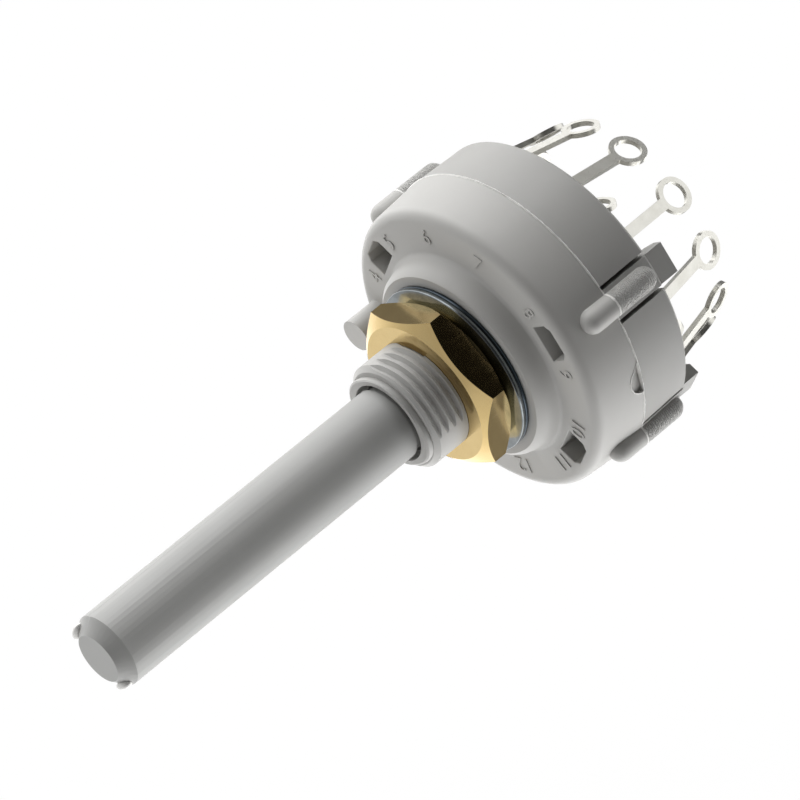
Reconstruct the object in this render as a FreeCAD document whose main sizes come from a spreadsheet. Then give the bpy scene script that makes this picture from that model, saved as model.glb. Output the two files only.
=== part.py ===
import FreeCAD, Part
import math
import os
import re
import Sketcher
from FreeCAD import Placement, Rotation, Vector

# A panel rotary switch with twelve positions, in millimetres.
# The shaft lies along Y and points to -Y. Z is up, and seen from the front
# the clock angle runs from +Z towards +X. The origin is on the shaft's axis,
# in the front face of the collar, which is the face that meets the panel.

doc = FreeCAD.newDocument("rotary_switch")
sheet = doc.addObject("Spreadsheet::Sheet", "sizes")

SIZES = [
    ("shaft_diameter", "6.35", "quarter inch shaft"),
    ("shaft_reach", "39.0", "shaft tip in front of the panel face"),
    ("shaft_bevel", "1.05", "bevel of the shaft's tip"),
    ("nib_width", "1.1", "rib left on the bevel where the mould halves met"),
    ("nib_inset", "0.3", "how far the rib's end lies inside the shaft's skin"),
    ("nib_skin", "0.06", "how far the rib's sides stay inside the shaft's skin"),
    ("nib_turn", "-47", "clock angle of the first rib"),
    ("groove_diameter", "5.9", "grease groove of the shaft, at the bush's mouth"),
    ("groove_lead", "0.1", "how far the grease groove starts in front of the bush"),
    ("groove_length", "1.5", "grease groove along the shaft"),
    ("running_gap", "0.05", "radial clearance of the shaft in its bearings"),
    ("end_gap", "0.15", "axial clearance beside the rotor"),
    ("bush_diameter", "9.525", "three eighths inch thread, crest to crest"),
    ("bush_core_diameter", "9.0", "bush under the washers and nut, at the thread's pitch line"),
    ("bush_reach", "7.9", "bush in front of the panel face"),
    ("nose_diameter", "7.8", "plain nose of the bush"),
    ("nose_length", "0.55", "length of the plain nose"),
    ("thread_lead", "0.4", "bevel where the thread starts"),
    ("mouth_flare", "0.25", "flare at the bore's mouth"),
    ("collar_diameter", "17.4", "front face of the collar"),
    ("collar_height", "1.9", "collar in front of the dial face"),
    ("collar_draft", "0.45", "how much wider the collar is at its foot"),
    ("collar_round", "0.4", "rounded front edge of the collar"),
    ("shoulder_round", "0.95", "round from the dial face to the side wall"),
    ("body_diameter", "26.6", "widest diameter, at the parting line"),
    ("wall_thickness", "1.4", "side wall round the stator"),
    ("front_draft", "0.35", "taper of the side wall in front of the parting line"),
    ("rear_draft", "0.14", "taper of the side wall behind the parting line"),
    ("flash_height", "0.06", "flash on the parting line"),
    ("seam_back", "6.86", "parting line behind the panel face"),
    ("body_back", "12.0", "rear edge behind the panel face"),
    ("rim_round", "0.3", "rounded rear edge"),
    ("plate_thickness", "1.5", "front plate"),
    ("detent_diameter", "16.8", "crests of the detent track"),
    ("detent_depth", "0.4", "depth of a detent notch"),
    ("detent_round", "1.9", "radius of a detent notch"),
    ("detent_back", "7.3", "rear end of the detent track"),
    ("ledge_width", "0.7", "ledge that carries the stator"),
    ("seat_back", "9.35", "front end of the stator's socket"),
    ("stop_track_inner", "10.6", "inner diameter of the stop lug's track"),
    ("stop_track_outer", "14.2", "outer diameter of the stop lug's track"),
    ("stop_track_depth", "1.1", "depth of the stop lug's track"),
    ("stop_diameter", "12.4", "circle of the stop holes"),
    ("stop_hole_width", "1.5", "stop hole around the circle"),
    ("stop_hole_height", "0.62", "stop hole along the radius"),
    ("stop_turn", "-15", "clock angle of the stop tab"),
    ("clip_turn", "45", "clock angle of the first clip"),
    ("clip_step", "60", "angle from the first clip to the second"),
    ("clip_width", "2.7", "tongue of a clip, between its gaps"),
    ("clip_gap", "0.36", "gap on each side of a tongue"),
    ("clip_reach", "1.75", "tongue behind the rear edge"),
    ("clip_hook", "0.5", "hook of a tongue, inwards"),
    ("slot_land", "1.5", "wall between a face slot and the detent track's crests"),
    ("slot_width", "3.1", "width of a face slot"),
    ("slot_corner", "0.5", "cut outer corners of a face slot"),
    ("bump_radius", "1.03", "round bump on the outside of a clip"),
    ("bump_front", "3.75", "front end of the bump behind the panel face"),
    ("bump_back", "11.5", "rear end of the bump behind the panel face"),
    ("peg_diameter", "2.75", "locating peg"),
    ("peg_reach", "1.05", "locating peg in front of the panel face"),
    ("peg_inset", "2.23", "locating peg's axis inside the side wall"),
    ("peg_turn", "-112.4", "clock angle of the locating peg"),
    ("gate_turn", "73.8", "clock angle of the middle of the gate recess"),
    ("gate_length", "3.0", "gate recess along the parting line"),
    ("gate_width", "1.1", "gate recess in front of the parting line"),
    ("washer_diameter", "15.1", "both washers"),
    ("washer_clearance", "0.1", "both washers around the thread, on the radius"),
    ("stop_washer_thickness", "0.32", "stop washer"),
    ("stop_tab_width", "1.2", "tab of the stop washer"),
    ("plain_washer_thickness", "0.4", "washer under the nut"),
    ("seat_gap", "0.03", "air between stacked parts"),
    ("nut_across_flats", "13.1", "hexagon nut"),
    ("nut_thickness", "3.05", "hexagon nut"),
    ("nut_bevel_start", "0.35", "where the nut's bevel starts inside the flats"),
    ("nut_bevel_drop", "0.95", "height of the nut's bevel at a corner"),
    ("nut_turn", "-3", "clock angle of a corner of the nut"),
    ("nut_clearance", "0.04", "nut around the thread, on the radius"),
    ("hub_gap", "0.3", "air between the hub and the detent crests"),
    ("flange_gap", "0.6", "air between the rotor flange and its chamber"),
    ("flange_back", "8.6", "rear face of the rotor flange"),
    ("lug_width", "1.6", "stop lug of the rotor"),
    ("lug_inner", "5.6", "inner radius of the stop lug"),
    ("lug_outer", "6.8", "outer radius of the stop lug"),
    ("lug_height", "1.05", "stop lug in front of the hub"),
    ("tail_diameter", "5.0", "rear journal of the shaft"),
    ("tail_back", "11.8", "rear end of the shaft"),
    ("ball_diameter", "3.0", "detent ball"),
    ("ball_gap", "0.05", "air between a ball and the detent crests"),
    ("ball_back", "5.5", "centre line of the balls behind the panel face"),
    ("spring_wire", "0.5", "wire of the detent spring"),
    ("spring_diameter", "2.5", "outside of the detent spring"),
    ("spring_turns", "5", "turns of the detent spring"),
    ("bridge_width", "2.0", "moving contact"),
    ("bridge_thickness", "0.4", "moving contact"),
    ("bridge_inner", "3.6", "inner end of the moving contact"),
    ("bridge_inset", "1.6", "outer end of the moving contact inside the socket"),
    ("bridge_turn", "180", "clock angle of the moving contact at position one"),
    ("point_diameter", "1.2", "contact point"),
    ("point_gap", "0.05", "air between a contact point and its track"),
    ("slot_clearance", "0.1", "moving contact in its slot"),
    ("contact_spring_wire", "0.3", "wire of the contact spring"),
    ("contact_spring_diameter", "1.9", "outside of the contact spring"),
    ("contact_spring_turns", "3", "turns of the contact spring"),
    ("contact_spring_front", "6.3", "front end of the contact spring"),
    ("stator_front", "9.4", "front face of the stator"),
    ("stator_clearance", "0.12", "stator in its socket, on the radius"),
    ("hook_gap", "0.05", "air between a hook and the stator"),
    ("track_thickness", "0.35", "fixed contact plates"),
    ("plate_length", "2.6", "fixed contact inwards from its blade"),
    ("plate_width", "2.4", "width of a fixed contact"),
    ("ring_inner", "3.5", "inner radius of the common ring"),
    ("ring_outer", "5.5", "outer radius of the common ring"),
    ("blade_inset", "0.7", "terminal blades inside the socket"),
    ("blade_thickness", "0.4", "terminal blades"),
    ("blade_width", "1.0", "terminal blades"),
    ("bend_back", "12.6", "bend of a terminal behind the panel face"),
    ("lug_lean", "12", "how far a terminal leans inwards"),
    ("eye_distance", "6.4", "eye of a terminal from its bend"),
    ("eye_outer", "3.1", "outside of a terminal's eye"),
    ("eye_hole", "2.2", "hole of a terminal's eye"),
    ("common_radius", "4.4", "radius of the common blade"),
    ("common_turn", "-30", "clock angle of the common blade"),
    ("common_distance", "5.0", "eye of the common terminal from its bend"),
]

NAMES = {name for name, number, note in SIZES}
POSITIONS = 12

# Radii that several parts share, so that they stay nested when one is changed.
SOCKET = "body_diameter / 2 - wall_thickness"
CHAMBER = SOCKET + " - ledge_width"
FLANGE = CHAMBER + " - flange_gap"
HUB = "detent_diameter / 2 - hub_gap"
BLADE = SOCKET + " - blade_inset"
BRIDGE = SOCKET + " - bridge_inset"
SPRING_CIRCLE = "(bridge_inner + %s) / 2" % BRIDGE
WASHERS = "stop_washer_thickness + plain_washer_thickness + seat_gap * 3"
RING_CIRCLE = "(ring_inner + ring_outer) / 2"

for row, (name, number, note) in enumerate(SIZES, start=1):
    sheet.set("A%d" % row, name)
    sheet.set("B%d" % row, number)
    sheet.set("C%d" % row, note)
    sheet.setAlias("B%d" % row, name)
doc.recompute()


def bound(text):
    """A sum of named sizes, written so that it reads the sheet."""
    found = lambda match: "sizes." + match.group(0) if match.group(0) in NAMES else match.group(0)
    return re.sub(r"[a-z_]+", found, text)


def value(text):
    """The number that a sum of named sizes stands for, such as 'a - b / 2'."""
    return float(sheet.evalExpression(bound(text)))


def new_body(label):
    body = doc.addObject("PartDesign::Body", label)
    body.Label = label
    return body


def new_sketch(body, name, role, along="0", turn=None, across=None):
    """A sketch on an origin plane, moved along its normal or turned about Y."""
    plane = next(part for part in body.Origin.OriginFeatures if part.Role == role)
    sketch = body.newObject("Sketcher::SketchObject", name)
    sketch.AttachmentSupport = (plane, [""])
    sketch.MapMode = "FlatFace"
    if turn is not None:
        sketch.AttachmentOffset = Placement(Vector(), Rotation(Vector(0, 1, 0), 1))
        sketch.setExpression("AttachmentOffset.Rotation.Angle", bound(turn) + " - 90")
        if across is not None:
            place = "(%s) * %s(%s)"
            base = "AttachmentOffset.Base."
            sketch.setExpression(base + "x", place % (bound(across), "sin", bound(turn)))
            sketch.setExpression(base + "z", place % (bound(across), "cos", bound(turn)))
    elif along != "0":
        sketch.setExpression("AttachmentOffset.Base.z", bound(along))
    return sketch


def turned(sketch, back, turn):
    """Put a sketch of the front plane at a depth and a clock angle."""
    sketch.AttachmentOffset = Placement(Vector(), Rotation(Vector(0, 0, 1), 1))
    sketch.setExpression("AttachmentOffset.Base.z", "0 - (%s)" % bound(back))
    sketch.setExpression("AttachmentOffset.Rotation.Angle", "0 - (%s)" % bound(turn))


def pin_point(sketch, geometry, end, x, y):
    """Hold one point of a sketch at named distances from the sketch's origin."""
    for kind, axis, text in (("DistanceX", -2, x), ("DistanceY", -1, y)):
        if text == "0":
            sketch.addConstraint(
                Sketcher.Constraint("PointOnObject", geometry, end, axis))
            continue
        index = sketch.addConstraint(
            Sketcher.Constraint(kind, -1, 1, geometry, end, value(text)))
        sketch.setExpression("Constraints[%d]" % index, bound(text))


def draw_outline(sketch, points):
    """A closed chain of lines through points given by named sizes."""
    spots = [Vector(value(x), value(y), 0) for x, y in points]
    first = sketch.GeometryCount
    count = len(points)
    for index, spot in enumerate(spots):
        line = Part.LineSegment(spot, spots[(index + 1) % count])
        sketch.addGeometry(line, False)
    for index, (x, y) in enumerate(points):
        before = first + (index - 1) % count
        sketch.addConstraint(
            Sketcher.Constraint("Coincident", before, 2, first + index, 1))
        pin_point(sketch, first + index, 1, x, y)


def draw_box(sketch, x_low, x_high, y_low, y_high):
    draw_outline(sketch, [(x_low, y_low), (x_high, y_low), (x_high, y_high), (x_low, y_high)])


def draw_circle(sketch, diameter, x="0", y="0"):
    centre = Vector(value(x), value(y), 0)
    circle = Part.Circle(centre, Vector(0, 0, 1), value(diameter) / 2)
    index = sketch.addGeometry(circle, False)
    size = sketch.addConstraint(Sketcher.Constraint("Diameter", index, value(diameter)))
    sketch.setExpression("Constraints[%d]" % size, bound(diameter))
    if x == "0" and y == "0":
        sketch.addConstraint(Sketcher.Constraint("Coincident", index, 3, -1, 1))
    else:
        pin_point(sketch, index, 3, x, y)


def revolve(body, kind, name, sketch, axis="V_Axis", angle=360):
    feature = body.newObject("PartDesign::" + kind, name)
    feature.Profile = sketch
    feature.ReferenceAxis = (sketch, [axis])
    feature.Angle = angle
    doc.recompute()
    return feature


def extrude(body, kind, name, sketch, length, midplane=False, backwards=False):
    feature = body.newObject("PartDesign::" + kind, name)
    feature.Profile = sketch
    feature.setExpression("Length", bound(length))
    if midplane:
        feature.SideType = "Symmetric"
    feature.Reversed = backwards
    doc.recompute()
    return feature


def repeat(body, name, originals, count, sketch, axis="N_Axis"):
    """Copies of features all round the shaft's axis."""
    pattern = body.newObject("PartDesign::PolarPattern", name)
    pattern.Originals = originals
    pattern.Axis = (sketch, [axis])
    pattern.Angle = 360
    pattern.Occurrences = count
    body.Tip = pattern
    doc.recompute()
    return pattern


def edges_where(feature, test):
    """Names of a feature's edges whose middle passes the test."""
    names = []
    for index, edge in enumerate(feature.Shape.Edges, start=1):
        middle = edge.valueAt((edge.FirstParameter + edge.LastParameter) / 2)
        if test(edge, middle):
            names.append("Edge%d" % index)
    return names


def circles_of(feature, radius, back):
    """Names of a feature's edges that are circles round the shaft's axis."""
    size = value(radius)
    level = value(back)
    here = lambda edge, spot: (
        hasattr(edge.Curve, "Radius") and abs(edge.Curve.Radius - size) < 0.01
        and abs(edge.Curve.Center.y - level) < 0.01)
    return edges_where(feature, here)


def soften(body, kind, name, feature, names, size):
    """Round or bevel some edges by a named size."""
    edit = body.newObject("PartDesign::" + kind, name)
    edit.Base = (feature, names)
    edit.setExpression("Radius" if kind == "Fillet" else "Size", bound(size))
    doc.recompute()
    return edit


def build_housing():
    """Bush, collar, dial face, side wall and clips: one moulding."""
    body = new_body("housing_blank")
    outline = new_sketch(body, "shell_outline", "XY_Plane")
    bore = "shaft_diameter / 2 + running_gap"
    draw_outline(outline, [
        (bore + " + mouth_flare", "0 - bush_reach"),
        ("nose_diameter / 2", "0 - bush_reach"),
        ("nose_diameter / 2", "nose_length - bush_reach"),
        ("bush_diameter / 2 - thread_lead", "nose_length - bush_reach"),
        ("bush_diameter / 2", "nose_length + thread_lead - bush_reach"),
        ("bush_diameter / 2", "0 - nut_thickness - seat_gap - (%s)" % WASHERS),
        ("bush_core_diameter / 2", "0 - nut_thickness - seat_gap - (%s)" % WASHERS),
        ("bush_core_diameter / 2", "0"),
        ("collar_diameter / 2 - collar_round", "0"),
        ("collar_diameter / 2", "collar_round"),
        ("collar_diameter / 2 + collar_draft", "collar_height"),
        ("body_diameter / 2 - front_draft", "collar_height"),
        ("body_diameter / 2", "seam_back - flash_height"),
        ("body_diameter / 2 + flash_height", "seam_back"),
        ("body_diameter / 2", "seam_back + flash_height"),
        ("body_diameter / 2 - rear_draft", "body_back - rim_round"),
        ("body_diameter / 2 - rear_draft - rim_round", "body_back"),
        (SOCKET, "body_back"),
        (SOCKET, "seat_back"),
        (CHAMBER, "seat_back"),
        (CHAMBER, "detent_back"),
        ("detent_diameter / 2", "detent_back"),
        ("detent_diameter / 2", "collar_height + plate_thickness"),
        ("stop_track_outer / 2", "collar_height + plate_thickness"),
        ("stop_track_outer / 2", "collar_height + plate_thickness - stop_track_depth"),
        ("stop_track_inner / 2", "collar_height + plate_thickness - stop_track_depth"),
        ("stop_track_inner / 2", "collar_height + plate_thickness"),
        (bore, "collar_height + plate_thickness"),
        (bore, "mouth_flare - bush_reach"),
    ])
    shell = revolve(body, "Revolution", "shell", outline)
    foot = circles_of(shell, "collar_diameter / 2 + collar_draft", "collar_height")
    foot_round = soften(body, "Fillet", "collar_foot", shell, foot, "collar_round")
    rim = circles_of(foot_round, "body_diameter / 2 - front_draft", "collar_height")
    soften(body, "Fillet", "shoulder", foot_round, rim, "shoulder_round")

    notch = new_sketch(body, "detent_notch", "XZ_Plane", "0 - detent_back")
    draw_circle(notch, "detent_round * 2", "0",
                "detent_diameter / 2 + detent_depth - detent_round")
    cut = extrude(body, "Pocket", "detent_cut", notch,
                  "detent_back - collar_height - plate_thickness", backwards=True)
    repeat(body, "detent_notches", [cut], POSITIONS, notch)

    hole = new_sketch(body, "stop_hole", "XZ_Plane")
    turned(hole, "0", "stop_turn")
    draw_box(hole, "0 - stop_hole_width / 2", "stop_hole_width / 2",
             "stop_diameter / 2 - stop_hole_height / 2",
             "stop_diameter / 2 + stop_hole_height / 2")
    cut = extrude(body, "Pocket", "stop_cut", hole,
                  "collar_height + plate_thickness - stop_track_depth / 2")
    repeat(body, "stop_holes", [cut], POSITIONS, hole)
    build_clips(body, "first", "clip_turn")
    build_clips(body, "second", "clip_turn + clip_step")
    return body


def build_clips(body, word, turn):
    """Two opposite clips: face slots, tongues with hooks, and gaps beside them."""
    slot = new_sketch(body, word + "_face_slot", "XZ_Plane")
    turned(slot, "0", turn)
    inner = "detent_diameter / 2 + slot_land"
    draw_outline(slot, [
        ("0 - slot_width / 2", inner),
        ("slot_width / 2", inner),
        ("slot_width / 2", SOCKET + " - slot_corner"),
        ("slot_width / 2 - slot_corner", SOCKET),
        ("slot_corner - slot_width / 2", SOCKET),
        ("0 - slot_width / 2", SOCKET + " - slot_corner"),
    ])
    cut = extrude(body, "Pocket", word + "_face_slot_cut", slot, "seat_back")
    repeat(body, word + "_face_slots", [cut], 2, slot)

    tongue = new_sketch(body, word + "_tongue", "XZ_Plane")
    turned(tongue, "body_back", turn)
    draw_box(tongue, "0 - clip_width / 2", "clip_width / 2",
             SOCKET, "body_diameter / 2 - rear_draft - rim_round")
    grow = extrude(body, "Pad", word + "_tongue_pad", tongue, "clip_reach", backwards=True)
    hook = new_sketch(body, word + "_hook", "XY_Plane", turn=turn)
    draw_outline(hook, [
        (SOCKET + " - clip_hook", "body_back + hook_gap"),
        (SOCKET + " + clip_hook", "body_back + hook_gap"),
        (SOCKET + " + clip_hook", "body_back + clip_reach"),
        (SOCKET, "body_back + clip_reach"),
        (SOCKET + " - clip_hook", "body_back + clip_hook * 2"),
    ])
    catch = extrude(body, "Pad", word + "_hook_pad", hook, "clip_width", midplane=True)
    repeat(body, word + "_tongues", [grow, catch], 2, slot)

    gap = new_sketch(body, word + "_clip_gap", "XZ_Plane")
    turned(gap, "body_back", turn)
    for low, high in (("clip_width / 2", "clip_width / 2 + clip_gap"),
                      ("0 - clip_width / 2 - clip_gap", "0 - clip_width / 2")):
        draw_box(gap, low, high, CHAMBER + " - clip_gap", "body_diameter / 2 + clip_gap")
    cut = extrude(body, "Pocket", word + "_clip_gap_cut", gap, "body_back - seam_back",
                  backwards=True)
    repeat(body, word + "_clip_gaps", [cut], 2, slot)


def build_gate():
    """The quarter of a pointed drop that the gate left in front of the parting line."""
    body = new_turned_body("gate_recess", "gate_turn")
    drop = new_sketch(body, "gate_outline", "XY_Plane")
    drop.setExpression("AttachmentOffset.Base.y", bound("seam_back"))
    drop.setExpression("AttachmentOffset.Base.z", bound("body_diameter / 2"))
    draw_outline(drop, [
        ("0 - gate_length / 2", "0"),
        ("gate_length / 2 - gate_width / 2", "0 - gate_width"),
        ("gate_length / 2", "0 - gate_width / 2"),
        ("gate_length / 2", "0"),
    ])
    revolve(body, "Revolution", "gate_drop", drop, "H_Axis", 90)
    return body


def build_bump(label, turn):
    """The long round bump on the outside of a clip."""
    body = new_body(label)
    bump = new_sketch(body, label + "_outline", "XY_Plane", turn=turn,
                      across="body_diameter / 2")
    front = value("bump_front")
    back = value("bump_back")
    radius = value("bump_radius")
    draw = bump.addGeometry
    draw(Part.LineSegment(Vector(0, front, 0), Vector(0, back, 0)), False)
    lower = Part.Circle(Vector(0, front + radius, 0), Vector(0, 0, 1), radius)
    upper = Part.Circle(Vector(0, back - radius, 0), Vector(0, 0, 1), radius)
    draw(Part.ArcOfCircle(upper, 0, math.pi / 2), False)
    draw(Part.LineSegment(Vector(radius, front + radius, 0),
                          Vector(radius, back - radius, 0)), False)
    draw(Part.ArcOfCircle(lower, -math.pi / 2, 0), False)
    hold = lambda *rule: bump.addConstraint(Sketcher.Constraint(*rule))
    hold("Coincident", 0, 2, 1, 2)
    hold("Coincident", 3, 1, 0, 1)
    hold("Tangent", 1, 1, 2, 2)
    hold("Tangent", 2, 1, 3, 2)
    hold("PointOnObject", 1, 3, -2)
    hold("PointOnObject", 3, 3, -2)
    pin_point(bump, 0, 1, "0", "bump_front")
    pin_point(bump, 0, 2, "0", "bump_back")
    for arc in (1, 3):
        index = hold("Radius", arc, radius)
        bump.setExpression("Constraints[%d]" % index, bound("bump_radius"))
    revolve(body, "Revolution", label + "_solid", bump)
    return body


def finish_housing(blank):
    """Join the bumps and the peg to the blank, and cut the gaps and the gate."""
    first = build_bump("first_bump", "clip_turn")
    second = build_bump("second_bump", "clip_turn + clip_step")
    third = build_bump("third_bump", "clip_turn + 180")
    fourth = build_bump("fourth_bump", "clip_turn + clip_step + 180")
    peg = doc.addObject("Part::Cylinder", "peg")
    peg.setExpression("Radius", bound("peg_diameter / 2"))
    peg.setExpression("Height", bound("peg_reach + collar_height + plate_thickness"))
    peg.Placement = Placement(Vector(), Rotation(Vector(1, 0, 0), 90))
    circle = bound("(body_diameter / 2 - peg_inset)")
    peg.setExpression("Placement.Base.x", circle + " * sin(sizes.peg_turn)")
    peg.setExpression("Placement.Base.z", circle + " * cos(sizes.peg_turn)")
    peg.setExpression("Placement.Base.y", bound("collar_height + plate_thickness"))
    inside = doc.addObject("Part::Cylinder", "bump_trim")
    inside.setExpression("Radius", bound("body_diameter / 2 - front_draft - rim_round * 2"))
    inside.setExpression("Height", bound("body_back * 2"))
    inside.Placement = Placement(Vector(), Rotation(Vector(1, 0, 0), -90))
    bumps = doc.addObject("Part::MultiFuse", "bumps")
    bumps.Shapes = [first, second, third, fourth]
    shells = doc.addObject("Part::Cut", "bump_shells")
    shells.Base = bumps
    shells.Tool = inside
    joined = doc.addObject("Part::MultiFuse", "housing_joined")
    joined.Shapes = [blank, shells, peg]
    whole = doc.addObject("Part::Cut", "housing")
    whole.Base = joined
    whole.Tool = build_gate()
    whole.Label = "housing"
    doc.recompute()
    return whole


def build_spindle():
    """The shaft with its rotor hub, flange and stop lug: one moulding."""
    body = new_body("spindle")
    outline = new_sketch(body, "spindle_outline", "XY_Plane")
    hub_front = "collar_height + plate_thickness + end_gap"
    groove = "0 - bush_reach - groove_lead"
    draw_outline(outline, [
        ("0", "0 - shaft_reach"),
        ("shaft_diameter / 2 - shaft_bevel", "0 - shaft_reach"),
        ("shaft_diameter / 2", "shaft_bevel - shaft_reach"),
        ("shaft_diameter / 2", groove),
        ("groove_diameter / 2", groove),
        ("groove_diameter / 2", groove + " + groove_length"),
        ("shaft_diameter / 2", groove + " + groove_length"),
        ("shaft_diameter / 2", hub_front),
        (HUB, hub_front),
        (HUB, "detent_back + end_gap"),
        (FLANGE, "detent_back + end_gap"),
        (FLANGE, "flange_back"),
        ("tail_diameter / 2", "flange_back"),
        ("tail_diameter / 2", "tail_back"),
        ("0", "tail_back"),
    ])
    revolve(body, "Revolution", "spindle_turned", outline)

    nib = new_sketch(body, "nib_outline", "XY_Plane", turn="nib_turn")
    draw_outline(nib, [
        ("shaft_diameter / 2 - shaft_bevel * 2", "0 - shaft_reach"),
        ("shaft_diameter / 2 - nib_inset", "0 - shaft_reach"),
        ("shaft_diameter / 2 - nib_skin", "shaft_bevel / 2 - shaft_reach"),
        ("shaft_diameter / 2 - nib_skin", "shaft_bevel - shaft_reach"),
        ("shaft_diameter / 2 - shaft_bevel * 2", "shaft_bevel - shaft_reach"),
    ])
    rib = extrude(body, "Pad", "nib", nib, "nib_width", midplane=True)
    repeat(body, "nibs", [rib], 2, nib, "V_Axis")

    lug = new_sketch(body, "stop_lug_outline", "XZ_Plane", "0 - (%s)" % hub_front)
    draw_box(lug, "0 - lug_width / 2", "lug_width / 2", "lug_inner", "lug_outer")
    extrude(body, "Pad", "stop_lug", lug, "lug_height")

    bore = new_sketch(body, "ball_bore_outline", "YZ_Plane")
    draw_circle(bore, "ball_diameter + running_gap * 4", "ball_back", "0")
    extrude(body, "Pocket", "ball_bore", bore, "detent_diameter * 2", midplane=True)

    seat = new_sketch(body, "contact_slot_outline", "XZ_Plane")
    turned(seat, "flange_back", "bridge_turn")
    draw_box(seat, "0 - bridge_width / 2 - slot_clearance",
             "bridge_width / 2 + slot_clearance",
             "bridge_inner - slot_clearance", FLANGE + " + bridge_width")
    extrude(body, "Pocket", "contact_slot", seat, "bridge_thickness * 1.5",
            backwards=True)
    pocket = new_sketch(body, "spring_pocket_outline", "XZ_Plane")
    turned(pocket, "flange_back", "bridge_turn")
    draw_circle(pocket, "contact_spring_diameter + slot_clearance * 2", "0", SPRING_CIRCLE)
    extrude(body, "Pocket", "spring_pocket", pocket,
            "flange_back - contact_spring_front + slot_clearance", backwards=True)
    doc.recompute()
    return body


def build_ball(label, side):
    """A steel ball at one end of the rotor's cross bore."""
    ball = doc.addObject("Part::Sphere", label)
    ball.Label = label
    ball.setExpression("Radius", bound("ball_diameter / 2"))
    place = bound("detent_diameter / 2 - ball_gap - ball_diameter / 2")
    ball.setExpression("Placement.Base.x", "%s(%s)" % (side, place))
    ball.setExpression("Placement.Base.y", bound("ball_back"))
    return ball


def build_coil(label, wire, outside, turns, length, place, axis_turn):
    """A compression spring: a wire swept along a helix, with eight sides for few facets."""
    helix = doc.addObject("Part::Helix", label + "_path")
    helix.setExpression("Radius", "(%s - %s) / 2" % (bound(outside), bound(wire)))
    helix.setExpression("Height", bound(length))
    helix.setExpression("Pitch", "(%s) / %s" % (bound(length), bound(turns)))
    ring = doc.addObject("Part::RegularPolygon", label + "_wire")
    ring.Polygon = 8
    ring.setExpression("Circumradius", bound(wire) + " / 2")
    ring.Placement = Placement(Vector(), Rotation(Vector(1, 0, 0), 90))
    ring.setExpression("Placement.Base.x", "(%s - %s) / 2" % (bound(outside), bound(wire)))
    doc.recompute()
    coil = doc.addObject("Part::Sweep", label)
    coil.Label = label
    coil.Sections = [ring]
    coil.Spine = (helix, ["Edge%d" % n for n in range(1, len(helix.Shape.Edges) + 1)])
    coil.Solid = True
    coil.Frenet = True
    coil.Placement = Placement(Vector(), axis_turn)
    for letter, text in zip("xyz", place):
        coil.setExpression("Placement.Base." + letter, text)
    doc.recompute()
    return coil


def build_moving_contact():
    """The bridge that joins the common ring to one fixed contact."""
    body = new_body("moving_contact")
    back = "stator_front - point_gap"
    plate = new_sketch(body, "bridge_outline", "XZ_Plane")
    turned(plate, "flange_back - bridge_thickness", "bridge_turn")
    draw_box(plate, "0 - bridge_width / 2", "bridge_width / 2",
             "bridge_inner", BRIDGE)
    extrude(body, "Pad", "bridge", plate, "bridge_thickness", backwards=True)
    points = new_sketch(body, "contact_points_outline", "XZ_Plane")
    turned(points, "flange_back", "bridge_turn")
    draw_circle(points, "point_diameter", "0", RING_CIRCLE)
    draw_circle(points, "point_diameter", "0", BRIDGE + " - point_diameter / 2 - slot_clearance")
    pad = extrude(body, "Pad", "contact_points", points,
                  "stator_front - point_gap - flange_back", backwards=True)
    level = value(back)
    names = edges_where(pad, lambda edge, spot: abs(spot.y - level) < 0.001)
    soften(body, "Chamfer", "contact_point_tips", pad, names, "point_diameter / 6")
    return body


def build_washer(label, back, thickness, tab=False):
    """A flat washer, with or without a stop tab bent through the housing."""
    body = new_body(label)
    ring = new_sketch(body, label + "_outline", "XZ_Plane", "0 - (%s)" % back)
    draw_circle(ring, "washer_diameter")
    draw_circle(ring, "bush_diameter + washer_clearance * 2")
    extrude(body, "Pad", label + "_ring", ring, thickness)
    if tab:
        flag = new_sketch(body, "stop_tab_outline", "XZ_Plane")
        turned(flag, back, "stop_turn")
        draw_box(flag, "0 - stop_tab_width / 2", "stop_tab_width / 2",
                 "stop_diameter / 2 - stop_washer_thickness / 2",
                 "stop_diameter / 2 + stop_washer_thickness / 2")
        extrude(body, "Pad", "stop_tab", flag,
                "collar_height + plate_thickness - stop_track_depth / 3", backwards=True)
    return body


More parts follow.
